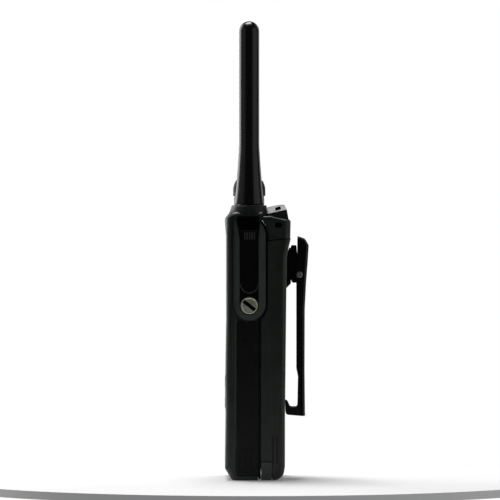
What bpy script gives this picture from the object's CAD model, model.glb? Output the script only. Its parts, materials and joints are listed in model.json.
"""Portable radio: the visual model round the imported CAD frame, with its studio and camera.

Lengths in this file are millimetres in the frame's axes (+Z up, front at -Y, socket side at +X),
and MM turns them into Blender's metres.
"""
import json
import math
import bmesh
import bpy
from mathutils import Matrix, Vector


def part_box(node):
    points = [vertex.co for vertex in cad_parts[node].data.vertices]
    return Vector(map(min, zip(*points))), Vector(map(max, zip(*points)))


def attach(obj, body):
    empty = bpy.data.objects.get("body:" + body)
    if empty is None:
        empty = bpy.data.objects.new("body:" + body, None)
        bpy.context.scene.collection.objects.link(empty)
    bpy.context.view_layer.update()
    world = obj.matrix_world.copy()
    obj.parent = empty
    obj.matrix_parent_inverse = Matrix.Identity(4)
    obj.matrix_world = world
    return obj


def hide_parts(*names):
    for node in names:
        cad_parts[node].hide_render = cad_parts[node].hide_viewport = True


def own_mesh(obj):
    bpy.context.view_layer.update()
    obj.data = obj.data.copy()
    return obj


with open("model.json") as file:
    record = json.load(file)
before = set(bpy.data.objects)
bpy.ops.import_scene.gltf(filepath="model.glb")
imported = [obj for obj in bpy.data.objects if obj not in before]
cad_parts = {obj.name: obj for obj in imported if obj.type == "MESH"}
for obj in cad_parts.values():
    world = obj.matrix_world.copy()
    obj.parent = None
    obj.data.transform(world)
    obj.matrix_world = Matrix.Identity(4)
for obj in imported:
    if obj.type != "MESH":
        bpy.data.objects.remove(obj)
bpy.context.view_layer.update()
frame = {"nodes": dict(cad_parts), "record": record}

MM = 0.001
SCENE = bpy.context.scene


# ---- Places taken from the frame ----

def extent(node):
    """Lowest and highest corner of a CAD node, in millimetres."""
    low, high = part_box(node)
    return low / MM, high / MM


def middle(node):
    low, high = extent(node)
    return (low + high) / 2


HOUSING_HIGH = extent("front_housing")[1]
HALF_WIDTH = HOUSING_HIGH.x
BOSS_TOP = HOUSING_HIGH.z
BATTERY_LOW, BATTERY_HIGH = extent("battery_case")
BATTERY_HALF = BATTERY_HIGH.x
FRAME_LOW, FRAME_HIGH = extent("accessory_frame")
SOCKET_Y = (FRAME_LOW.y + FRAME_HIGH.y) / 2
SOCKET_RADIUS = (FRAME_HIGH.y - FRAME_LOW.y) / 2
SOCKET_FOOT_Z = FRAME_LOW.z + SOCKET_RADIUS
COVER_LOW, COVER_HIGH = extent("accessory_cover")
ANTENNA_LOW, ANTENNA_HIGH = extent("antenna")
ANTENNA = middle("antenna")
TOP_ROW_Y = ANTENNA.y
CHANNEL = middle("channel_encoder")
VOLUME = middle("volume_pot")
LAMP = middle("status_led")
SCREW = middle("cover_screw")
PIN = middle("clip_pin")
BLOCK_HIGH = extent("rear_top_block")[1]
ALARM = middle("emergency_button")
LEVER_HIGH = extent("clip_lever")[1]
HOUSING_TOP = 134.6  # flat top of the shell, below the antenna's boss
WALL = 1.7
GAP = 0.3
SEAM_Y = 1.4  # back edge of the shell below the socket
FRAME_TOP = 131.6
BATTERY_FRONT = BATTERY_LOW.y
BATTERY_SEAM = 1.1  # width of the seam between shell and battery beside the socket
CREST_RISE = 0.22  # the ridge above the battery climbs this much per millimetre backwards
KEY_FLANGE = (0.7, 0.6)  # a front key's hidden flange is wider than its face by this in X and Z
COVER_STEP_Z = 98.4  # height where the cover's lowered face ends, level with the lip's centre
COVER_STEP_RADIUS = 5.1
COVER_LIP_RADIUS = 4.38
COVER_LIP_THICKNESS = 0.26
RIB_FOOT_Z, RIB_TOP_Z = 120.6, 124.4
RIB_COUNT = 5
FOOT_WALL_HALF = 12  # half length of the walls that close the sight line under the radio
FLOOR_RADIUS = 160
FLOOR_GLOW = 0.12
SIDE_FLANGE = (0.6, 0.4, 1.0)  # a side key's flange, wider in front, behind, and above and below
FRONT_KEYS = ["key_nav", "key_menu", "key_up", "key_back", "key_down"]
SIDE_KEYS = ["ptt_button", "side_key_upper", "side_key_lower"]


def top_seam(y):
    """Height of the seam between the battery and the block above it."""
    return 120.2 + 0.1 * (y - 7.7)


# ---- Outlines ----

def rounded(corners, steps=7):
    """Closed outline through (a, b) or (a, b, radius) corners, where a radius is a true arc."""
    points = []
    count = len(corners)
    for i, corner in enumerate(corners):
        here = Vector(corner[:2])
        radius = corner[2] if len(corner) > 2 else 0
        if radius == 0:
            points.append(here)
            continue
        back = (Vector(corners[i - 1][:2]) - here).normalized()
        on = (Vector(corners[(i + 1) % count][:2]) - here).normalized()
        half = back.angle(on) / 2
        centre = here + (back + on).normalized() * (radius / math.sin(half))
        start = here + back * (radius / math.tan(half)) - centre
        end = here + on * (radius / math.tan(half)) - centre
        sweep = start.angle_signed(end)
        turns = [Matrix.Rotation(-sweep * k / steps, 2) for k in range(steps + 1)]
        points += [centre + turn @ start for turn in turns]
    return points


def rectangle(a0, a1, b0, b1, radius=0, steps=7):
    return rounded([(a0, b0, radius), (a1, b0, radius), (a1, b1, radius), (a0, b1, radius)], steps)


def arc(a, b, radius, start, end, steps):
    """Points on a circle between two angles in degrees."""
    turns = [math.radians(start + (end - start) * k / steps) for k in range(steps + 1)]
    return [Vector((a + radius * math.cos(t), b + radius * math.sin(t))) for t in turns]


def circle(a, b, radius, steps=48):
    return arc(a, b, radius, 0, 360, steps)[:-1]


def scalloped(a, b, radius, depth, flutes, steps=14):
    """Outline of a knob whose edge has round valleys between narrow lands."""
    points = []
    for k in range(flutes * steps):
        turn = 2 * math.pi * k / (flutes * steps)
        wave = abs(math.cos(turn * flutes / 2))
        reach = radius - depth * wave ** 1.6
        points.append(Vector((a + reach * math.cos(turn), b + reach * math.sin(turn))))
    return points


def grow(a0, a1, b0, b1, by):
    return a0 - by, a1 + by, b0 - by, b1 + by


def shifted(points, da, db, turn=0):
    """The outline turned by some degrees about the origin, then moved."""
    rotation = Matrix.Rotation(math.radians(turn), 2)
    return [rotation @ point + Vector((da, db)) for point in points]


# ---- Mesh helpers ----

PLACE = {
    "X": lambda a, b, d: Vector((d, a, b)),
    "Y": lambda a, b, d: Vector((a, d, b)),
    "Z": lambda a, b, d: Vector((a, b, d)),
}


def from_bmesh(name, bm):
    bmesh.ops.recalc_face_normals(bm, faces=bm.faces)
    mesh = bpy.data.meshes.new(name)
    bm.to_mesh(mesh)
    bm.free()
    obj = bpy.data.objects.new(name, mesh)
    SCENE.collection.objects.link(obj)
    return obj


def loft(name, rings):
    """Closed body through rings of equally many points, in millimetres, capped at both ends."""
    bm = bmesh.new()
    rows = [[bm.verts.new(point * MM) for point in ring] for ring in rings]
    bm.faces.new(rows[0])
    bm.faces.new(rows[-1])
    for low, high in zip(rows, rows[1:]):
        for i in range(len(low)):
            j = (i + 1) % len(low)
            bm.faces.new((low[i], low[j], high[j], high[i]))
    return from_bmesh(name, bm)


def prism(name, outline, axis, low, high):
    """An outline across the axis, extruded along it from low to high."""
    place = PLACE[axis]
    return loft(name, [[place(a, b, d) for a, b in outline] for d in (low, high)])


def pillow(name, outline_at, axis, low, high, edge, steps=5):
    """A prism whose far edge is rounded: outline_at(inset) gives the outline drawn in by inset."""
    place = PLACE[axis]
    inward = -1 if high > low else 1
    rings = [[place(a, b, low) for a, b in outline_at(0)]]
    for k in range(steps + 1):
        turn = math.pi / 2 * k / steps
        inset = edge * (1 - math.cos(turn))
        depth = high + inward * edge * (1 - math.sin(turn))
        rings.append([place(a, b, depth) for a, b in outline_at(inset)])
    return loft(name, rings)


def crowned(name, outline_at, half, reach, steps=7):
    """Body along X from -half to half; outline_at(distance) is its outline near either end."""
    turns = [math.pi / 2 * k / steps for k in range(steps + 1)]
    right = [half - reach * (1 - math.sin(turn)) for turn in turns]
    levels = [-x for x in reversed(right)] + right
    return loft(name, [[Vector((x, y, z)) for y, z in outline_at(half - abs(x))] for x in levels])


def turned(name, profile, centre, axis="Z", steps=64):
    """Body of revolution from (radius, place along the axis) points whose ends are on the axis."""
    place = PLACE[axis]
    bm = bmesh.new()
    rows = []
    for radius, along in profile:
        ring = circle(*centre, radius, steps) if radius > 0 else [Vector(centre)]
        rows.append([bm.verts.new(place(a, b, along) * MM) for a, b in ring])
    for low, high in zip(rows, rows[1:]):
        for i in range(steps):
            j = (i + 1) % steps
            corners = [low[i % len(low)], low[j % len(low)], high[j % len(high)], high[i % len(high)]]
            bm.faces.new(list(dict.fromkeys(corners)))
    return from_bmesh(name, bm)


def wire(name, points, radius, sides=12):
    """Round wire along points, in millimetres, with closed ends."""
    rings = []
    normal = None
    for i, point in enumerate(points):
        along = (points[min(i + 1, len(points) - 1)] - points[max(i - 1, 0)]).normalized()
        normal = along.orthogonal() if normal is None else normal - along * normal.dot(along)
        normal.normalize()
        side = along.cross(normal)
        turns = [2 * math.pi * k / sides for k in range(sides)]
        rings.append([point + (normal * math.cos(t) + side * math.sin(t)) * radius for t in turns])
    return loft(name, rings)


def box(name, x0, x1, y0, y1, z0, z1):
    return prism(name, rectangle(x0, x1, y0, y1), "Z", z0, z1)


def bake(obj):
    """Applies the object's modifiers."""
    graph = bpy.context.evaluated_depsgraph_get()
    mesh = bpy.data.meshes.new_from_object(obj.evaluated_get(graph))
    obj.modifiers.clear()
    old = obj.data
    obj.data = mesh
    bpy.data.meshes.remove(old)
    return obj


def combine(obj, operation, tools):
    for tool in tools:
        modifier = obj.modifiers.new(operation.lower(), "BOOLEAN")
        modifier.operation = operation
        modifier.solver = "EXACT"
        modifier.object = tool
    bake(obj)
    for tool in tools:
        bpy.data.meshes.remove(tool.data)
    return obj


def cut(obj, *tools):
    return combine(obj, "DIFFERENCE", tools)


def join(obj, *tools):
    return combine(obj, "UNION", tools)


def common(obj, *tools):
    return combine(obj, "INTERSECT", tools)


def lean(obj, rise, y):
    """Shears the mesh so that it climbs by rise per millimetre behind y."""
    for vertex in obj.data.vertices:
        vertex.co.z += rise * (vertex.co.y - y * MM)
    return obj


def clean(obj):
    """Merges doubled points, flattens coplanar triangles and drops edges without a face."""
    bm = bmesh.new()
    bm.from_mesh(obj.data)
    bmesh.ops.remove_doubles(bm, verts=bm.verts, dist=0.004 * MM)
    bmesh.ops.dissolve_degenerate(bm, edges=bm.edges, dist=0.004 * MM)
    bmesh.ops.dissolve_limit(
        bm, angle_limit=math.radians(0.4), verts=bm.verts, edges=bm.edges, delimit={"NORMAL"})
    loose = [edge for edge in bm.edges if not edge.link_faces]
    bmesh.ops.delete(bm, geom=loose, context="EDGES")
    bm.to_mesh(obj.data)
    bm.free()


def smooth(obj, angle=32):
    obj.data.shade_smooth()
    obj.data.set_sharp_from_angle(angle=math.radians(angle))
    weighted = obj.modifiers.new("even normals", "WEIGHTED_NORMAL")
    weighted.keep_sharp = True
    weighted.weight = 60
    return obj


def round_edges(obj, width, segments, angle, clamp=True):
    bevel = obj.modifiers.new("soft edges", "BEVEL")
    bevel.use_clamp_overlap = clamp
    bevel.width = width * MM
    bevel.segments = segments
    bevel.limit_method = "ANGLE"
    bevel.angle_limit = math.radians(angle)
    bevel.miter_outer = "MITER_ARC"


def soften(obj, width, segments=3, angle=32, clamp=True):
    """Rounds the edges sharper than angle by width millimetres.

    With clamp the bevel can't cross itself, but one very short edge makes it near nothing.
    """
    clean(obj)
    round_edges(obj, width, segments, angle, clamp)
    bake(obj)
    return smooth(obj)


# ---- Materials ----

class Finish:
    """A node material on a Principled shader, in the object's own coordinates."""

    def __init__(self, name, colour, roughness, metallic=0.0, specular=0.35):
        self.material = bpy.data.materials.new(name)
        self.material.use_nodes = True
        self.tree = self.material.node_tree
        self.shader = self.tree.nodes["Principled BSDF"]
        self.shader.inputs["Base Color"].default_value = (*colour, 1)
        self.shader.inputs["Roughness"].default_value = roughness
        self.shader.inputs["Metallic"].default_value = metallic
        self.shader.inputs["Specular IOR Level"].default_value = specular
        self.roughness = roughness
        self.place = self.node("ShaderNodeTexCoord").outputs["Object"]
        self.normal = None

    def node(self, kind, **settings):
        made = self.tree.nodes.new(kind)
        for key, value in settings.items():
            setattr(made, key, value)
        return made

    def link(self, source, target):
        self.tree.links.new(source, target)

    def noise(self, size, detail=2.0, stretch=(1, 1, 1)):
        """Noise whose lumps are about size millimetres across."""
        mapping = self.node("ShaderNodeMapping")
        mapping.inputs["Scale"].default_value = stretch
        self.link(self.place, mapping.inputs["Vector"])
        noise = self.node("ShaderNodeTexNoise")
        noise.inputs["Scale"].default_value = 1 / (size * MM)
        noise.inputs["Detail"].default_value = detail
        self.link(mapping.outputs["Vector"], noise.inputs["Vector"])
        return noise.outputs["Fac"]

    def spread(self, source, low, high, start=0.35, end=0.65):
        """Maps the part of a source between start and end to the range from low to high."""
        ranged = self.node("ShaderNodeMapRange")
        ranged.inputs["From Min"].default_value = start
        ranged.inputs["From Max"].default_value = end
        ranged.inputs["To Min"].default_value = low
        ranged.inputs["To Max"].default_value = high
        self.link(source, ranged.inputs["Value"])
        return ranged.outputs["Result"]

    def tint(self, factor, second):
        """Blends the colour towards second by a 0 to 1 factor."""
        mix = self.node("ShaderNodeMix", data_type="RGBA")
        target = self.shader.inputs["Base Color"]
        if target.is_linked:
            self.link(target.links[0].from_socket, mix.inputs["A"])
        else:
            mix.inputs["A"].default_value = target.default_value
        mix.inputs["B"].default_value = (*second, 1)
        self.link(factor, mix.inputs["Factor"])
        self.link(mix.outputs["Result"], target)

    def vary_roughness(self, source, swing):
        varied = self.spread(source, self.roughness - swing, self.roughness + swing)
        self.link(varied, self.shader.inputs["Roughness"])

    def grain(self, source, depth):
        """Adds relief, depth millimetres high."""
        bump = self.node("ShaderNodeBump")
        bump.inputs["Distance"].default_value = depth * MM
        self.link(source, bump.inputs["Height"])
        if self.normal is not None:
            self.link(self.normal, bump.inputs["Normal"])
        self.normal = bump.outputs["Normal"]
        self.link(self.normal, self.shader.inputs["Normal"])

    def wear(self, second, amount):
        """Lightens outward edges, where handling polishes them."""
        edges = self.node("ShaderNodeNewGeometry").outputs["Pointiness"]
        self.tint(self.spread(edges, 0, amount, 0.52, 0.6), second)


def lighter(colour, factor):
    return tuple(min(1, channel * factor) for channel in colour)


def moulded(name, colour, roughness=0.45, grain=0.009, specular=0.35):
    """Spark-eroded moulded plastic: even fine grain, faint clouding and polished edges."""
    finish = Finish(name, colour, roughness, specular=specular)
    finish.tint(finish.spread(finish.noise(18, 3), 0, 0.8), lighter(colour, 1.35))
    finish.vary_roughness(finish.noise(7), 0.05)
    finish.grain(finish.noise(0.5, 3), grain)
    finish.wear(lighter(colour, 2.2), 0.5)
    return finish.material


def rubbery(name, colour, roughness=0.7):
    """Soft rubber: matt, with a fine pebble and a little dust."""
    finish = Finish(name, colour, roughness, specular=0.2)
    finish.tint(finish.spread(finish.noise(5, 4), 0, 0.7), lighter(colour, 1.6))
    finish.vary_roughness(finish.noise(2), 0.06)
    finish.grain(finish.noise(0.35), 0.01)
    return finish.material


def machined(name, colour, roughness=0.3, depth=0.002, stretch=(1, 1, 14)):
    """Bare metal with fine streaks and a little tarnish."""
    finish = Finish(name, colour, roughness, metallic=1.0, specular=0.5)
    finish.tint(finish.spread(finish.noise(4, 3), 0, 0.5), lighter(colour, 0.75))
    finish.vary_roughness(finish.noise(1.5, 3), 0.07)
    finish.grain(finish.noise(1.4, 2, stretch), depth)
    return finish.material


def painted_casting(name, colour):
    """Black paint over a slightly pitted casting."""
    finish = Finish(name, colour, 0.6, specular=0.3)
    finish.tint(finish.spread(finish.noise(3, 4), 0, 0.7), lighter(colour, 1.5))
    finish.vary_roughness(finish.noise(2), 0.08)
    finish.grain(finish.noise(0.8, 3), 0.03)
    return finish.material


def circuit(name):
    """Solder-masked board with fine tracks."""
    finish = Finish(name, (0.012, 0.09, 0.04), 0.35, specular=0.4)
    tracks = finish.node("ShaderNodeTexBrick")
    tracks.inputs["Scale"].default_value = 260
    tracks.inputs["Mortar Size"].default_value = 0.03
    finish.link(finish.place, tracks.inputs["Vector"])
    finish.tint(tracks.outputs["Fac"], (0.03, 0.2, 0.08))
    finish.grain(tracks.outputs["Fac"], 0.01)
    return finish.material


def perforated(name):
    """Dark metal sheet with rows of fine round holes."""
    finish = Finish(name, (0.03, 0.032, 0.03), 0.45, metallic=0.7)
    cells = finish.node("ShaderNodeTexVoronoi")
    cells.inputs["Scale"].default_value = 1100
    cells.inputs["Randomness"].default_value = 0.0
    finish.link(finish.place, cells.inputs["Vector"])
    finish.tint(finish.spread(cells.outputs["Distance"], 1, 0, 0.25, 0.4), (0.001, 0.001, 0.001))
    finish.vary_roughness(finish.noise(2), 0.05)
    return finish.material


def glassy(name, colour):
    """Hard-coated window or lens."""
    finish = Finish(name, colour, 0.12, specular=0.5)
    finish.shader.inputs["Coat Weight"].default_value = 0.5
    finish.shader.inputs["Coat Roughness"].default_value = 0.05
    finish.tint(finish.spread(finish.noise(12), 0, 0.6), lighter(colour, 1.4))
    finish.vary_roughness(finish.noise(6, 4), 0.04)
    return finish.material


MATERIALS = {
    "body_plastic": moulded("body plastic", (0.012, 0.0148, 0.0126), 0.42),
    "frame_plastic": moulded("frame plastic", (0.032, 0.038, 0.035), 0.38),
    "cover_plastic": moulded("cover plastic", (0.0008, 0.0009, 0.0008), 0.3, 0.004, 0.3),
    "grip_rubber": rubbery("grip rubber", (0.0022, 0.0023, 0.0022), 0.45),
    "key_rubber": rubbery("key rubber", (0.008, 0.0088, 0.0083), 0.6),
    "antenna_rubber": moulded("antenna sleeve", (0.003, 0.0036, 0.0032), 0.22, 0.002),
    "knob_plastic": moulded("knob plastic", (0.007, 0.008, 0.0075), 0.45),
    "orange_plastic": moulded("orange plastic", (0.62, 0.1, 0.012), 0.35, 0.004),
    "window_plastic": glassy("window", (0.004, 0.005, 0.006)),
    "lamp_plastic": glassy("lamp lens", (0.12, 0.26, 0.13)),
    "screw_metal": machined("screw metal", (0.72, 0.71, 0.6), 0.42, 0.0004),
    "spring_steel": machined("spring steel", (0.42, 0.43, 0.42)),
    "dark_steel": machined("dark steel", (0.06, 0.062, 0.06), 0.4),
    "cast_aluminium": painted_casting("painted casting", (0.002, 0.0022, 0.002)),
    "cell_can": moulded("cell wrap", (0.03, 0.08, 0.12), 0.35, 0.003),
    "contact_gold": machined("contact gold", (0.7, 0.48, 0.16), 0.25),
    "circuit_board": circuit("circuit board"),
    "speaker_cone": rubbery("speaker cone", (0.02, 0.022, 0.02)),
}
GRILLE_SHEET = perforated("grille sheet")
SHADOW = moulded("blackened recess", (0.0006, 0.0006, 0.0006), 0.6, 0.02, 0.08)
POLISHED_EDGE = moulded("polished edge", (0.03, 0.033, 0.031), 0.3, 0.002, 0.5)
RIVET_METAL = machined("rivet metal", (0.34, 0.34, 0.32), 0.55, 0.0004)
SLOT_OF = {part["node"]: part["material_slot"] for part in frame["record"]["subparts"]}
BODY_OF = {
    node: body
    for body, nodes in frame["record"]["behaviour"]["bodies"].items()
    for node in nodes
}
replaced = set()


def dress(obj, slot):
    obj.data.materials.clear()
    obj.data.materials.append(MATERIALS[slot])


def paint(obj, material, inside):
    """Gives a second material to the faces whose centres, in millimetres, pass a test."""
    obj.data.materials.append(material)
    for face in obj.data.polygons:
        if inside(face.center / MM):
            face.material_index = len(obj.data.materials) - 1


def stand_for(node, obj):
    """Makes a piece replace a CAD node: the same body and the same slot."""
    obj.name = f"{node}_visual"
    dress(obj, SLOT_OF[node])
    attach(obj, BODY_OF[node])
    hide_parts(node)
    replaced.add(node)
    return obj


# ---- Camera, light and floor ----

def camera():
    """Level with the radio's middle, looking squarely at the socket side from far off."""
    data = bpy.data.cameras.new("camera")
    data.sensor_width = 36
    data.lens = 400
    data.clip_start = 0.05
    data.clip_end = 50
    obj = bpy.data.objects.new("camera", data)
    SCENE.collection.objects.link(obj)
    picture_height = 250  # millimetres at the radio's side
    distance = picture_height * data.lens / data.sensor_width
    target = Vector((HALF_WIDTH, -2.5, 115.4))
    elevation = math.radians(0.8)
    away = Vector((math.cos(elevation), 0, math.sin(elevation)))
    obj.location = (target + away * distance) * MM
    obj.rotation_euler = away.to_track_quat("Z", "Y").to_euler()
    SCENE.camera = obj


def softbox(name, azimuth, elevation, distance, width, height, power):
    """Panel light aimed at the radio; azimuth 0 is the socket side, 90 the battery side."""
    data = bpy.data.lights.new(name, "AREA")
    data.shape = "RECTANGLE"
    data.size = width
    data.size_y = height
    data.energy = power
    obj = bpy.data.objects.new(name, data)
    SCENE.collection.objects.link(obj)
    turn = math.radians(azimuth)
    rise = math.radians(elevation)
    away = Vector((math.cos(turn) * math.cos(rise), math.sin(turn) * math.cos(rise), math.sin(rise)))
    obj.location = away * distance + Vector((0, 0, 0.12))
    obj.rotation_euler = away.to_track_quat("Z", "Y").to_euler()


def backdrop():
    """White behind the radio, and a dim even glow on it from all round."""
    world = bpy.data.worlds.new("studio")
    world.use_nodes = True
    tree = world.node_tree
    glow = tree.nodes["Background"]
    glow.inputs["Color"].default_value = (0.9, 0.96, 0.93, 1)
    glow.inputs["Strength"].default_value = 0.05
    white = tree.nodes.new("ShaderNodeBackground")
    white.inputs["Color"].default_value = (1, 1, 1, 1)
    mix = tree.nodes.new("ShaderNodeMixShader")
    seen = tree.nodes.new("ShaderNodeLightPath")
    tree.links.new(seen.outputs["Is Camera Ray"], mix.inputs["Fac"])
    tree.links.new(glow.outputs["Background"], mix.inputs[1])
    tree.links.new(white.outputs["Background"], mix.inputs[2])
    tree.links.new(mix.outputs["Shader"], tree.nodes["World Output"].inputs["Surface"])
    SCENE.world = world
    SCENE.view_settings.view_transform = "Standard"


def studio():
    softbox("overhead", -165, 73, 1.3, 0.7, 0.7, 20)
    softbox("front rim", -130, 6, 1.2, 0.9, 1.6, 15)
    softbox("rear rim", 142, 6, 1.2, 0.7, 1.6, 3)
    softbox("front panel", -72, 4, 1.3, 1.4, 1.7, 2.4)
    softbox("rear panel", 68, 4, 1.3, 1.4, 1.7, 4.6)
    backdrop()


def floor():
    outline = [(0, -4), (FLOOR_RADIUS, -4), (FLOOR_RADIUS, -0.02), (0, -0.02)]
    slab = turned("floor", outline, (0, 0), steps=96)
    finish = Finish("pale floor", (0.76, 0.76, 0.76), 0.9, specular=0.1)
    finish.tint(finish.spread(finish.noise(60), 0, 0.6), (0.73, 0.73, 0.73))
    finish.shader.inputs["Emission Color"].default_value = (1, 1, 1, 1)
    finish.shader.inputs["Emission Strength"].default_value = FLOOR_GLOW
    slab.data.materials.append(finish.material)
    smooth(slab)


# ---- Half cases ----

def seam(low_y, offset, top_z, steps=24):
    """Y-Z line of the seam behind the shell, round the socket's foot, pushed back by offset."""
    radius = SOCKET_RADIUS + offset
    start = math.degrees(math.acos((low_y - SOCKET_Y) / radius))
    foot = arc(SOCKET_Y, SOCKET_FOOT_Z, radius, -start, 0, steps)
    return foot + [Vector((SOCKET_Y + radius, top_z))]


def edge_inset(distance, radius):
    """How far a side draws in, at some distance from an end that has a rounded edge."""
    if distance >= radius:
        return 0
    rise = radius - distance
    return radius - math.sqrt(max(0, radius ** 2 - rise ** 2))


def case_ring(z, half, edge_y, open_y, radius):
    """Section of a half case at height z: round corners at edge_y and square ones at open_y."""
    corners = [(half, open_y), (half, edge_y, radius), (-half, edge_y, radius), (-half, open_y)]
    return [Vector((x, y, z)) for x, y in rounded(corners, 8)]


def profile_y(profile, z):
    """Where an edge profile of (y, z) points lies at height z."""
    for (y0, z0), (y1, z1) in zip(profile, profile[1:]):
        if z0 <= z <= z1 and z1 > z0:
            return y0 + (y1 - y0) * (z - z0) / (z1 - z0)
    return profile[-1][0]


def case_block(name, profile, half, open_y, foot_radius, head_radius, radius):
    """Lofts a half case up an edge profile of (y, z) points."""
    foot = profile[0][1]
    head = profile[-1][1]
    curl = [1 - math.cos(k * math.pi / 16) for k in range(9)]
    levels = {round(z, 3) for _, z in profile}
    levels |= {round(foot + foot_radius * c, 3) for c in curl}
    levels |= {round(head - head_radius * c, 3) for c in curl}
    rings = []
    for z in sorted(level for level in levels if foot <= level <= head):
        inset = edge_inset(z - foot, foot_radius) + edge_inset(head - z, head_radius)
        rings.append(case_ring(z, half - inset, profile_y(profile, z), open_y, radius))
    return loft(name, rings)


# ---- Front shell ----

def key_face(node):
    """X and Z range of a front key's face, without its flange."""
    low, high = extent(node)
    wide, tall = KEY_FLANGE
    return low.x + wide, high.x - wide, low.z + tall, high.z - tall


def side_key_face(node):
    """Y and Z range of a side key's face, without its flange."""
    low, high = extent(node)
    front, back, tall = SIDE_FLANGE
    return low.y + front, high.y - back, low.z + tall, high.z - tall


def window_range(inset):
    """X and Z range of the display's opening, drawn in by inset."""
    low, high = extent("display_window")
    return grow(low.x + 1, high.x - 1, low.z + 0.5, high.z - 0.5, -inset)


def key_radius(node):
    return 5 if node == "key_nav" else 2


def frame_outline(offset=0, steps=20):
    """Rounded outline of the socket's frame, in Y and Z."""
    y0 = SOCKET_Y - SOCKET_RADIUS - offset
    y1 = SOCKET_Y + SOCKET_RADIUS + offset
    z0 = FRAME_LOW.z - offset
    z1 = FRAME_TOP + offset
    foot = SOCKET_RADIUS + offset - 0.001
    return rounded([(y0, z0, foot), (y1, z0, foot), (y1, z1, 9), (y0, z1, 4)], steps)


def side_panel(top_z, side):
    """Tool for the shallow recess that holds a side grip, with sloping edges."""
    depth = 1.1
    spread = 3
    levels = [
        (HALF_WIDTH - depth, rectangle(-10 + depth, 20, 2 + depth, top_z - depth, 0.6)),
        (HALF_WIDTH, rectangle(-10, 20, 2, top_z, 0.6 + depth)),
        (HALF_WIDTH + spread, rectangle(-10 - spread, 20, 2 - spread, top_z + spread, 4)),
    ]
    return loft("panel", [[Vector((side * x, y, z)) for y, z in ring] for x, ring in levels])


def speaker_slots():
    slots = []
    for row in range(8):
        z = 92.5 + row * 3.4
        reach = 8 if row in (0, 7) else 12
        outline = rectangle(-reach, reach, z - 0.8, z + 0.8, 0.79)
        slots.append(prism("slot", outline, "Y", -17, -12))
    return slots


def shoulder():
    """The top of the shell swells up to the antenna's boss, flush with the shell's side."""
    reach = [
        (122, 11.6), (126.5, 11.95), (129.6, 12.2), (130.6, 12.16), (131.4, 11.9), (132.1, 11.4),
        (132.8, 10.8), (133.5, 10.3), (134.4, 9.85), (135.3, 9.5), (136.3, 9.2), (137.2, 8.9),
        (BOSS_TOP - 0.2, 8.7),
    ]
    rings = []
    for z, radius in reach:
        side = HALF_WIDTH - 0.08 - 0.09 * max(0, z - 131)
        x0 = ANTENNA.x - radius
        x1 = min(ANTENNA.x + radius, side)
        corner = min(8.6, (x1 - x0) / 2 - 0.02)
        outline = rectangle(x0, x1, TOP_ROW_Y - radius, TOP_ROW_Y + radius, corner, 16)
        rings.append([Vector((x, y, z)) for x, y in outline])
    return loft("shoulder", rings)


def shell_block():
    corners = [
        (-5, 0), (-11.5, 0, 1), (-15.15, 6.1, 2), (-14.8, 33, 60), (-14.95, 50, 60),
        (-14.5, 80, 60), (-14.5, 131.4, 2.2), (-11.8, HOUSING_TOP, 1.6), (-5, HOUSING_TOP),
    ]
    profile = [tuple(point) for point in rounded(corners, 6) if point.x < -5.01]
    block = case_block("shell_front", profile, HALF_WIDTH, 12, 1.6, 3.0, 3.2)
    join(block, shoulder())
    back = [tuple(point) for point in seam(SEAM_Y, 0, 124)]
    region = [(-20, -1), (SEAM_Y, -1), *back, (3.5, 128.6), (3.5, 150), (-20, 150)]
    return common(block, prism("region", region, "X", -40, 40))


def shell_cavity():
    outline = rounded([
        (20, WALL), (-11, WALL), (-13.3, 6.8), (-13.1, 80), (-12.8, 130.5),
        (-10.5, HOUSING_TOP - WALL), (20, HOUSING_TOP - WALL),
    ])
    return prism("cavity", outline, "X", WALL - HALF_WIDTH, HALF_WIDTH - WALL)


def collar(x, radius, top):
    foot = HOUSING_TOP - 2.1
    profile = [
        (0, foot), (radius, foot), (radius, top - 0.4), (radius - 0.12, top - 0.12),
        (radius - 0.4, top), (0, top),
    ]
    return turned("collar", profile, (x, TOP_ROW_Y), steps=80)


def socket_floor():
    outline = [
        (-11.6, 79.6), (-0.6, 79.6), (-0.6, 83.9), (2.8, 83.9), (2.8, 128.6), (2.6, 129),
        (2.6, 133.5), (-11, 133.5),
    ]
    return prism("socket floor", outline, "X", 23.3, 26)


def socket_tools():
    cable_notch = rounded([
        (-7.4, 125.5, 0.5), (1.6, 125.5, 0.5), (2.1, 129), (2.1, 132.3, 1), (-9, 132.3, 1),
        (-9, 129),
    ])
    return [
        prism("socket", frame_outline(GAP), "X", 24.9, 40),
        prism("contacts", rectangle(-7, 1.4, 92.5, 124, 2), "X", 15, 40),
        prism("screw hole", circle(TOP_ROW_Y, SCREW.z, 1.9, 24), "X", 15, 40),
        prism("cable notch", cable_notch, "X", 24, 40),
    ]


def in_cable_notch(place):
    return 21 < place.x < 25.3 and 125 < place.z < 132.6 and -9.3 < place.y < 2.4


def control_holes():
    tools = [
        prism("window", rectangle(*window_range(0), 2), "Y", -20, -10),
        prism("antenna", circle(ANTENNA.x, TOP_ROW_Y, 5.8), "Z", 120, 140),
        prism("volume", circle(VOLUME.x, TOP_ROW_Y, 3.2, 32), "Z", 120, 140),
        prism("channel", circle(CHANNEL.x, TOP_ROW_Y, 3.2, 32), "Z", 120, 140),
        prism("lamp", circle(LAMP.x, LAMP.y, 1.3, 24), "Z", 120, 140),
        prism("microphone", circle(-18, 58.5, 0.7, 16), "Y", -20, -10),
    ]
    for node in FRONT_KEYS:
        outline = rectangle(*grow(*key_face(node), 0.45), key_radius(node))
        tools.append(prism(node, outline, "Y", -20, -10))
    for node in SIDE_KEYS:
        tools.append(prism(node, rectangle(*grow(*side_key_face(node), 0.4), 2), "X", -40, -20))
    return tools


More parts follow.
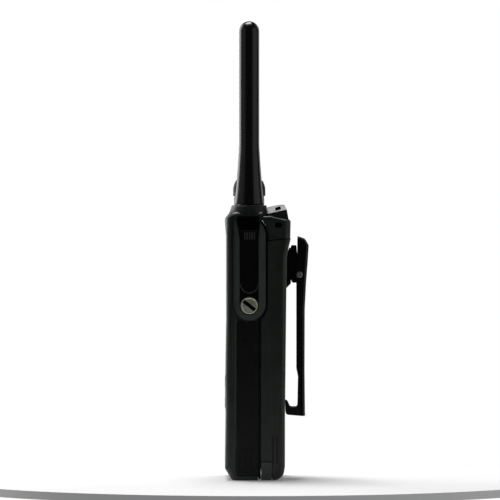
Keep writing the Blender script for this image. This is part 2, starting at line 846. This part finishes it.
def front_shell():
    shell = shell_block()
    cut(shell, shell_cavity())
    join(shell, collar(ANTENNA.x, 8.8, BOSS_TOP), collar(VOLUME.x, 7, 134.9))
    join(shell, collar(CHANNEL.x, 7.4, 134.9), socket_floor())
    cut(shell, side_panel(86, 1), side_panel(62, -1), *socket_tools())
    cut(shell, *control_holes(), *speaker_slots())
    foot_wall = box("foot wall", -FOOT_WALL_HALF, FOOT_WALL_HALF, 0.6, BATTERY_FRONT - 0.2, 0.9, 3.9)
    join(shell, foot_wall)
    stand_for("front_housing", soften(shell, 0.28, 3))
    paint(shell, SHADOW, in_cable_notch)


def side_grip(node, side):
    """Rubber strip let into the shell's side, with flutes near its foot."""
    low, high = extent(node)
    inner = HALF_WIDTH - 0.8
    face = HALF_WIDTH - 0.35
    strip = prism(node, rectangle(low.y, high.y, low.z, high.z, 0.5), "X", side * inner, side * face)
    soften(strip, 0.18)
    strip.modifiers.clear()
    for y in (-6.2, -3.4, -0.6):
        def flute(inset, y=y):
            return rectangle(*grow(y - 1, y + 1, 6, 15.6, -inset), 0.95 - inset, 8)
        join(strip, pillow("flute", flute, "X", side * inner, side * HALF_WIDTH, 0.32))
    smooth(strip, 40)
    stand_for(node, strip)


# ---- Side socket ----

def accessory_frame():
    ring = prism("frame", frame_outline(), "X", FRAME_LOW.x, FRAME_HIGH.x)
    opening = rounded([
        (-7.75, 82.9, 4.7), (1.85, 82.9, 4.7), (1.85, 121.5, 30), (2.7, 129.5), (2.7, 140),
        (-9.4, 140), (-9.4, 129), (-7.75, 121.5, 20),
    ], 12)
    top = FRAME_HIGH.x
    facet = [(top, -7.2), (top - 0.7, -10.8), (top + 3, -10.8), (top + 3, -7.2)]
    cut(ring, prism("opening", opening, "X", 20, 40), prism("facet", facet, "Z", 70, 140))
    stand_for("accessory_frame", soften(ring, 0.25, 4, 30))


def cover_step():
    """Tool for the lowered face round the screw, under a round lip."""
    edge = arc(SOCKET_Y - 0.15, COVER_STEP_Z, COVER_STEP_RADIUS, 0, -180, 32)
    lip = [tuple(point) for point in edge]
    outline = [(5, 80), (5, COVER_STEP_Z), *lip, (-10, COVER_STEP_Z), (-10, 80)]
    return prism("step", outline, "X", 26, 40)


def accessory_cover():
    """Plate with a sunken window, a round lip under it and a row of ribs at its top."""
    outline = rounded([
        (COVER_LOW.y, COVER_LOW.z, 4.45), (COVER_HIGH.y, COVER_LOW.z, 4.45),
        (COVER_HIGH.y, COVER_HIGH.z, 0.5), (COVER_LOW.y, COVER_HIGH.z, 0.5),
    ], 14)
    plate = prism("cover", outline, "X", COVER_LOW.x, COVER_HIGH.x)
    window = rounded([(-6.7, 94.1, 3.79), (0.9, 94.1, 3.79), (0.9, 121.5, 0.4), (-6.7, 121.5, 0.4)], 14)
    hole = prism("hole", circle(TOP_ROW_Y, SCREW.z, 1.9, 32), "X", 20, 40)
    cut(plate, prism("window", window, "X", 26, 30), cover_step(), hole)
    lip = [
        Vector((COVER_HIGH.x - 0.12, *point))
        for point in arc(SOCKET_Y - 0.05, COVER_STEP_Z, COVER_LIP_RADIUS, 0, -180, 40)
    ]
    ribs = []
    for i in range(RIB_COUNT):
        y = -5.1 + i * 1.2
        ribs.append(box("rib", 25.9, COVER_HIGH.x + 0.2, y - 0.3, y + 0.3, RIB_FOOT_Z, RIB_TOP_Z))
    join(plate, *ribs, wire("lip", lip, COVER_LIP_THICKNESS, 12))
    stand_for("accessory_cover", smooth(plate, 40))
    lip_centre = Vector((SOCKET_Y - 0.15, COVER_STEP_Z))

    def on_lip(place):
        reach = (Vector(place[1:]) - lip_centre).length
        off_face = abs(place.x - COVER_HIGH.x) > 0.01
        lip = 4.1 < reach < 5.45 and place.z < 98.7 and off_face
        rib = place.z > 120.5 and place.x > COVER_HIGH.x + 0.05
        return (lip and place.x > 26.05) or rib
    paint(plate, POLISHED_EDGE, on_lip)


def cover_screw():
    """Coin-slotted head with a raised rim, over a plain shank."""
    low, high = extent("cover_screw")
    centre = Vector((TOP_ROW_Y, SCREW.z))
    under = high.x - 1.2
    profile = [
        (0, low.x), (1.3, low.x), (1.5, low.x + 0.3), (1.5, under), (4.0, under),
        (4.18, under + 0.06), (4.25, under + 0.2), (4.25, high.x - 0.28), (4.2, high.x - 0.12),
        (4.05, high.x - 0.02), (3.9, high.x), (3.72, high.x - 0.02), (3.6, high.x - 0.14),
        (3.45, high.x - 0.34), (2.4, high.x - 0.24), (1.2, high.x - 0.14), (0, high.x - 0.06),
    ]
    head = turned("screw", profile, centre, "X", 96)
    turn = -38
    slot = shifted(rectangle(-3.62, 3.62, -0.9, 0.9, 0.2), *centre, turn)
    cut(head, prism("slot", slot, "X", high.x - 0.95, high.x + 1))
    stand_for("cover_screw", soften(head, 0.05, 2, 40))
    back = Matrix.Rotation(math.radians(-turn), 2)

    def in_slot(place):
        along, across = back @ (Vector(place[1:]) - centre)
        return place.x > under + 0.1 and abs(across) < 0.91 and abs(along) < 3.63
    paint(head, SHADOW, in_slot)


# ---- Top row ----

def antenna():
    low = ANTENNA_LOW.z
    tip = 5.05
    flare = [
        (0, low), (7.1, low), (7.42, low + 0.08), (7.58, low + 0.3), (7.6, low + 0.6),
        (7.42, low + 1.6), (7.2, low + 3.2), (6.98, low + 5.0), (6.74, low + 7.2), (6.5, low + 9.6),
        (6.26, low + 12.2), (6.02, low + 15), (5.8, low + 17.8), (5.6, low + 20.6),
        (5.42, low + 23.4), (5.26, low + 26), (5.12, low + 28.4), (tip, low + 30.6),
    ]
    bend = ANTENNA_HIGH.z - tip
    turns = [math.radians(90 * k / 12) for k in range(12)]
    dome = [(tip * math.cos(t), bend + tip * math.sin(t)) for t in turns]
    profile = flare + [(tip, low + 45), (tip, low + 60), (tip, low + 75)] + dome
    profile.append((0, ANTENNA_HIGH.z))
    sleeve = turned("antenna", profile, (ANTENNA.x, TOP_ROW_Y), steps=96)
    stand_for("antenna", smooth(sleeve, 50))


def knob(node, radius, skirt):
    """A fluted, slightly barrelled cap over a round skirt, with a pointer on top."""
    low, high = extent(node)
    x = middle(node).x
    crown = high.z
    rings = []
    for k in range(17):
        part = k / 16
        z = low.z + 6.9 + (crown - low.z - 6.9) * part
        reach = radius - 0.9 * (2 * part - 0.75) ** 2 if part > 0.375 else radius
        outline = scalloped(x, TOP_ROW_Y, reach, 0.75, 14)
        rings.append([Vector((a, b, z)) for a, b in outline])
    body = loft("cap", rings)
    base = [
        (0, low.z), (skirt - 0.9, low.z), (skirt - 0.6, low.z + 0.15), (skirt - 0.3, low.z + 1.2),
        (skirt - 0.05, low.z + 3), (skirt, low.z + 5.2), (skirt - 0.15, low.z + 6.8),
        (skirt - 0.4, low.z + 7.3), (0, low.z + 7.3),
    ]
    join(body, turned("skirt", base, (x, TOP_ROW_Y), steps=72))
    dish = [(0, crown - 0.35), (radius - 2.6, crown - 0.3), (radius - 2.1, crown + 1), (0, crown + 1)]
    bar = rectangle(x - 0.55, x + 0.55, TOP_ROW_Y - radius + 1.2, TOP_ROW_Y + 1, 0.5)
    cut(body, turned("dish", dish, (x, TOP_ROW_Y), steps=72))
    cut(body, prism("shaft", circle(x, TOP_ROW_Y, 2.7, 32), "Z", low.z - 1, crown - 4))
    join(body, prism("pointer", bar, "Z", crown - 1, crown - 0.02))
    stand_for(node, soften(body, 0.15, 2, 40, clamp=False))


def alarm_button():
    low, high = extent("emergency_button")
    top = high.z
    profile = [
        (0, low.z), (1.6, low.z), (1.6, top - 1.6), (3.9, top - 1.6), (4.1, top - 1.4),
        (4.1, top - 0.5), (3.95, top - 0.15), (3.6, top), (3.2, top - 0.03), (2.0, top - 0.3),
        (0, top - 0.42),
    ]
    button = turned("alarm", profile, (ALARM.x, ALARM.y), steps=64)
    stand_for("emergency_button", smooth(button, 40))


def status_lamp():
    low, high = extent("status_led")
    profile = [
        (0, low.z), (1, low.z), (1, high.z - 0.45), (0.92, high.z - 0.22), (0.7, high.z - 0.08),
        (0.35, high.z - 0.01), (0, high.z),
    ]
    stand_for("status_led", smooth(turned("lamp", profile, (LAMP.x, LAMP.y), steps=32), 60))


# ---- Block above the battery ----

def ridge():
    """Raised ridge with a sloping end on the socket side."""
    crest = rounded([
        (5.95, 128), (17.2, 128), (16.7, 131.5), (16, 135.4, 2), (14.9, 137.9, 0.9), (12, 137.7, 4),
        (5.95, 136.4, 0.8),
    ], 6)
    body = prism("ridge", crest, "X", -12, 20)
    slope = [(14, 137.6), (20.5, 133.05), (24, 133.05), (24, 150), (14, 150)]
    return cut(body, lean(prism("slope", slope, "Y", -10, 40), CREST_RISE, 6))


def soft_ridge():
    body = ridge()
    clean(body)
    round_edges(body, 0.4, 4, 35)
    return bake(body)


def alarm_seat():
    profile = [(0, 127.8), (2, 127.8), (2, 133.2), (4.6, 133.2), (4.6, 136.2), (5.6, 140), (0, 140)]
    return turned("seat", profile, (ALARM.x, ALARM.y), steps=64)


def battery_key(offset, height):
    """Locating ridge on the battery's top, in Y and Z, grown by offset."""
    front = 6.7 - 6 * offset
    back = 17 + offset
    return [
        (front, top_seam(6.7) - 1), (back, top_seam(17) - 1), (back, top_seam(17) + height),
        (front, top_seam(6.7) + height),
    ]


def block_outline(distance):
    """Outline of the block in Y and Z, some way in from its ends, which are rounded."""
    back = edge_inset(distance, 3.4)
    top = edge_inset(distance, 1)
    return rounded([
        (6.2, top_seam(6.2) + GAP / 2), (17.7 - back, top_seam(17.7 - back) + GAP / 2),
        (17.9 - back, 130.3 - top, 1), (12, 131.3 - top, 8), (7.7, 132.4 - top, 3),
        (3.65, 132.2 - top, 0.5), (3.65, 130.1, 0.3), (5.75, 127.1, 0.3),
    ])


def seam_relief():
    """Tools that widen the seam in front of the block, near its ends only."""
    corners = [
        (3, 119), (6.95, 119), (6.8, 123.6), (5.5, 126.5), (4.3, 128.7), (3.9, 130.2), (3, 130.2)]
    return [prism("relief", corners, "X", side * 24.4, side * 30) for side in (1, -1)]


def in_cord_way(place):
    way_in = 16.5 < place.x < BLOCK_HIGH.x - 0.05 and 9.9 < place.y < 13.5 and 126.4 < place.z < 129.2
    way_out = 16.5 < place.x < 19.2 and 9.9 < place.y < 13 and place.z < 135.1
    return way_in or (way_out and place.z > 126)


def rear_top_block():
    block = crowned("block", block_outline, BLOCK_HIGH.x, 3.4)
    tongue = box("tongue", 4.8, 9.2, 2.4, 5, 129.9, 132.4)
    cut(block, *seam_relief())
    join(block, soft_ridge(), tongue)
    cord_way = prism("cord way in", rectangle(10, 13.4, 126.5, 129.1, 0.5), "X", 16.6, 40)
    join(cord_way, prism("way out", rectangle(16.75, 19.1, 10.15, 12.9, 0.4), "Z", 126.7, 140))
    cut(
        block,
        cord_way,
        alarm_seat(),
        box("rib way", -2.9, 2.9, 3, 7.4, 118, 126.8),
        prism("key way", battery_key(0.4, 2), "X", 10, 14),
    )
    stand_for("rear_top_block", soften(block, 0.15, 3, 40))
    paint(block, SHADOW, in_cord_way)


# ---- Battery ----

def battery_block():
    corners = [
        (5, 0), (11, 0, 2.2), (13, 1.4, 1.4), (14.5, 3.4, 2.4), (15.05, 7, 6), (15.05, 31, 60),
        (15.35, 52, 60), (15.65, 82, 60), (15.9, 111.4, 12), (16.8, 116.5, 10), (19.2, 126),
    ]
    profile = [tuple(point) for point in rounded(corners, 6) if point.x > 5.01]
    return case_block("battery", profile, BATTERY_HALF, -6, 2.6, 0.01, 2.6)


def battery_region():
    """Side view of the battery: behind the seam and under the block above it."""
    top = top_seam(SOCKET_Y + SOCKET_RADIUS + BATTERY_SEAM) - GAP
    front = [tuple(point) for point in reversed(seam(BATTERY_FRONT, BATTERY_SEAM, top))]
    corners = [(BATTERY_FRONT, -1), (30, -1), (30, top_seam(30) - GAP), *front]
    return prism("region", corners, "X", -40, 40)


def charger_guides():
    tools = []
    for side in (1, -1):
        for y in (8.9, 10.9):
            outline = rectangle(y - 0.45, y + 0.45, 8, 22.4, 0.44)
            tools.append(prism("guide", outline, "X", side * 26.2, side * 30))
    return tools


def battery_case():
    shell = common(battery_block(), battery_region())
    key = prism("key", battery_key(0, 1.3), "X", 10.4, 13.6)
    cavity = [(-6, 5), (13, 5), (13.4, 60), (14, 110), (14, 116), (-6, 116)]
    join(shell, key)
    cut(
        shell,
        prism("cavity", cavity, "X", -25.2, 25.2),
        box("rib way", -2.9, 2.9, 5, 7.5, 115, 125),
        box("latch way", -30, 30, 2.7, 8.7, -1, 3.6),
        box("pad way", 26, 30, 2.7, 8.7, -1, 10.2),
        box("pad way", -30, -26, 2.7, 8.7, -1, 10.2),
        prism("spring seat", circle(0, 5.6, 2.1, 32), "Z", 0, 4.6),
        prism("screw", circle(4.2, 108, 1.4, 24), "Y", 12, 20),
        prism("screw", circle(-4.2, 108, 1.4, 24), "Y", 12, 20),
        *charger_guides(),
    )
    latch_back = extent("battery_latch")[1].y
    guide_wall = box("guide wall", -FOOT_WALL_HALF, FOOT_WALL_HALF, latch_back + 0.02, 8.9, 0.5, 3.7)
    join(shell, guide_wall)
    stand_for("battery_case", soften(shell, 0.28, 3))


def battery_latch():
    """Bar under the battery's foot with a ribbed pad up each side."""
    low, high = extent("battery_latch")
    latch = box("latch", low.x + 0.3, high.x - 0.3, low.y, high.y, low.z, low.z + 1.8)
    for side in (1, -1):
        outline = rectangle(low.y, high.y, low.z, high.z, 0.5)
        join(latch, prism("pad", outline, "X", side * 26.3, side * high.x))
        for z in (3.2, 4.6, 6.0, 7.4):
            groove = rectangle(low.y + 0.8, high.y - 0.8, z - 0.25, z + 0.25, 0.24)
            cut(latch, prism("groove", groove, "X", side * (high.x - 0.25), side * 30))
    stand_for("battery_latch", soften(latch, 0.12, 2))


# ---- Belt clip ----

def clip_base():
    half = extent("clip_base")[1].x
    plate = [
        (15.85, 95.9), (18.1, 98.3, 0.5), (18.1, 116, 0.3), (17.3, 116.2, 0.3), (16.9, 115),
        (15.95, 111.2)]
    ear = rounded([
        (17.9, 103.8), (17.9, 100.9, 0.3), (18.5, 99.1, 0.5), (19.6, 98.5, 0.6), (21.4, 99),
        (24, 99.9, 1.6), (24.6, 104, 1.6), (21.2, 113.6, 3), (20.9, 117.4, 0.5), (18.4, 117.4, 0.5),
        (17.9, 115.4),
    ])
    base = prism("clip base", rounded(plate)[::-1], "X", -half, half)
    side = half - 0.02
    join(base, prism("ear", ear, "X", half - 1.8, side), prism("ear", ear, "X", -side, 1.8 - half))
    cut(
        base,
        prism("pin hole", circle(PIN.y, PIN.z, 1.45, 32), "X", -12, 12),
        prism("screw", circle(4.2, 108, 1.4, 24), "Y", 10, 20),
        prism("screw", circle(-4.2, 108, 1.4, 24), "Y", 10, 20),
    )
    stand_for("clip_base", soften(base, 0.09, 2))


def lever_outline(distance):
    """Side view of the lever, some way in from its sides, whose outer edge is rounded."""
    back = edge_inset(distance, 1.7)
    return rounded([
        (21.5, 122 - back / 2, 0.4), (25.3 - back / 2, 120.7 - back, 1.9), (27.1 - back, 117.6, 1.9),
        (26.6 - back, 109.5, 20), (25.8 - back, 99.3, 20), (25.1 - back, 85.5, 40),
        (25 - back, 55, 60), (25.2 - back, 33.4, 3), (25.3 - back, 31.6, 0.6), (15.45, 32.3, 1.5),
        (15.3, 39.4, 0.3), (16.6, 38.4, 0.6), (17.8, 35.7, 1.4), (21.5, 35.7, 1.2), (21.8, 51, 6),
        (20.95, 55, 6), (20.95, 98, 2), (19.8, 101.6, 1.4), (20.6, 105.6, 1.6), (21.4, 113, 4),
    ])


def clip_lever():
    """Sprung lever: a channel in section, with grip ribs at its head and a hook at its foot."""
    half = LEVER_HIGH.x
    channel = rounded([
        (15, 37.5), (22.9, 37.5, 0.6), (22.9, 96, 4), (23.9, 98.5, 4), (24.9, 104, 4),
        (24.9, 109, 6), (24.3, 118.5, 6), (23.4, 123), (15, 123),
    ])
    lever = crowned("lever", lever_outline, half, 1.7)
    cut(
        lever,
        prism("channel", channel, "X", -8.7, 8.7),
        prism("pin hole", circle(PIN.y, PIN.z, 1.3, 32), "X", -20, 20),
    )
    for i in range(4):
        z = 110.5 + i * 1.9
        groove = rectangle(-7.6, 7.6, z - 0.4, z + 0.4, 0.38)
        cut(lever, prism("groove", groove, "Y", 26.3 + 0.06 * i, 30))
    stand_for("clip_lever", soften(lever, 0.25, 3, 40, clamp=False))


def clip_pin():
    centre = (PIN.y, PIN.z)
    side = extent("clip_pin")[1].x
    end = [
        (1, side - 0.4), (1.45, side - 0.4), (1.6, side - 0.28), (1.58, side - 0.18),
        (1.45, side - 0.07), (1.2, side - 0.01), (0.8, side), (0.5, side - 0.05)]
    profile = [(0, -side + 0.08)] + [(r, -x) for r, x in reversed(end)] + end + [(0, side - 0.08)]
    stand_for("clip_pin", smooth(turned("pin", profile, centre, "X", 48), 40))
    pin = SCENE.objects["clip_pin_visual"]
    pin.data.materials[0] = RIVET_METAL


def clip_spring():
    """Torsion spring: coils round the pin, one leg on the base and one on the lever."""
    points = [Vector((-1.3, 18.95, 107.6))]
    steps = 120
    for k in range(steps + 1):
        turn = math.pi * 1.15 - k / steps * 2.5 * 2 * math.pi
        x = -1.2 + 2.4 * k / steps
        points.append(Vector((x, PIN.y + 1.75 * math.cos(turn), PIN.z + 1.75 * math.sin(turn))))
    points.append(Vector((1.3, 23.6, 109)))
    stand_for("clip_spring", smooth(wire("spring", points, 0.35), 60))


def latch_spring():
    """Small coil that holds the latch down, and shortens as it is pushed up."""
    low, high = extent("latch_spring")
    centre = middle("latch_spring")
    radius = (high.x - low.x) / 2 - 0.2
    points = []
    steps = 150
    for k in range(steps + 1):
        turn = k / steps * 4 * 2 * math.pi
        height = low.z + 0.2 + (high.z - low.z - 0.4) * k / steps
        points.append(Vector((radius * math.cos(turn), radius * math.sin(turn), height)))
    coil = wire("spring", [point + Vector((centre.x, centre.y, 0)) for point in points], 0.18, 10)
    stand_for("latch_spring", smooth(coil, 60))
    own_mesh(coil)


def clip_screw(node):
    """Pan head with a cross recess."""
    low, high = extent(node)
    x = middle(node).x
    z = middle(node).z
    profile = [
        (0, low.y), (1.1, low.y), (1.1, high.y - 1), (2.1, high.y - 1), (2.1, high.y - 0.45),
        (1.9, high.y - 0.2), (1.4, high.y - 0.05), (0, high.y),
    ]
    screw = turned("screw", profile, (x, z), "Y", 48)
    for turn in (45, 135):
        bar = shifted(rectangle(-1.2, 1.2, -0.25, 0.25, 0.05), x, z, turn)
        cut(screw, prism("cross", bar, "Y", high.y - 0.55, high.y + 1))
    stand_for(node, soften(screw, 0.04, 2, 40))


# ---- Keys and window ----

def front_key(node):
    low, high = extent(node)
    radius = key_radius(node)

    def face(inset):
        return rectangle(*grow(*key_face(node), -inset), radius - inset, 8)
    key = pillow("key", face, "Y", high.y - 0.3, low.y, 0.75)
    join(key, box("flange", low.x, high.x, high.y - 0.5, high.y, low.z, high.z))
    if node == "key_nav":
        x = middle(node).x
        z = middle(node).z
        ring = [(0, low.y + 0.25), (2.9, low.y + 0.25), (3.3, low.y - 1), (0, low.y - 1)]
        cut(key, turned("dish", ring, (x, z), "Y", 64))
    stand_for(node, smooth(key, 40))


def side_key(node, ribs):
    """Side button with cross ribs on a rounded face."""
    low, high = extent(node)
    y0, y1, z0, z1 = side_key_face(node)

    def face(inset):
        return rectangle(*grow(y0, y1, z0, z1, -inset), 2 - inset, 8)
    key = pillow("key", face, "X", high.x - 0.2, low.x, 0.9)
    join(key, box("flange", high.x - 0.8, high.x, low.y, high.y, low.z, high.z))
    pitch = (z1 - z0 - 4) / ribs
    for i in range(ribs):
        z = z0 + 2 + pitch * (i + 0.5)
        groove = rectangle(y0 + 1.3, y1 - 1.3, z - 0.35, z + 0.35, 0.34)
        cut(key, prism("groove", groove, "X", low.x - 1, low.x + 0.3))
    stand_for(node, soften(key, 0.1, 2, 40))


def display_window():
    low, high = extent("display_window")

    def face(inset):
        return rectangle(*window_range(GAP + inset), 1.7 - inset, 8)
    pane = pillow("pane", face, "Y", high.y - 0.2, low.y, 0.25)
    join(pane, box("flange", low.x, high.x, high.y - 0.4, high.y, low.z, high.z))
    stand_for("display_window", smooth(pane, 30))


# ---- Nodes kept from CAD ----

def keep_node(node, obj):
    """Rounds a CAD node's edges with modifiers and gives it its slot's material."""
    dress(obj, SLOT_OF[node])
    weld = obj.modifiers.new("weld", "WELD")
    weld.merge_threshold = 0.004 * MM
    flat = obj.modifiers.new("flat faces", "DECIMATE")
    flat.decimate_type = "DISSOLVE"
    flat.angle_limit = math.radians(0.5)
    round_edges(obj, 0.12, 2, 35)
    smooth(obj, 35)


def kept_nodes():
    for node, obj in frame["nodes"].items():
        if node not in replaced:
            keep_node(node, obj)
    grille = frame["nodes"]["speaker_grille"]
    grille.data.materials[0] = GRILLE_SHEET


camera()
studio()
floor()
front_shell()
side_grip("side_grip_right", 1)
side_grip("side_grip_left", -1)
accessory_frame()
accessory_cover()
cover_screw()
antenna()
knob("channel_knob", 8.2, 7.65)
knob("volume_knob", 6.4, 6)
alarm_button()
status_lamp()
rear_top_block()
battery_case()
battery_latch()
clip_base()
clip_lever()
clip_pin()
clip_spring()
latch_spring()
clip_screw("clip_screw_1")
clip_screw("clip_screw_2")
for key_node in FRONT_KEYS:
    front_key(key_node)
side_key("ptt_button", 7)
side_key("side_key_upper", 2)
side_key("side_key_lower", 3)
display_window()
kept_nodes()
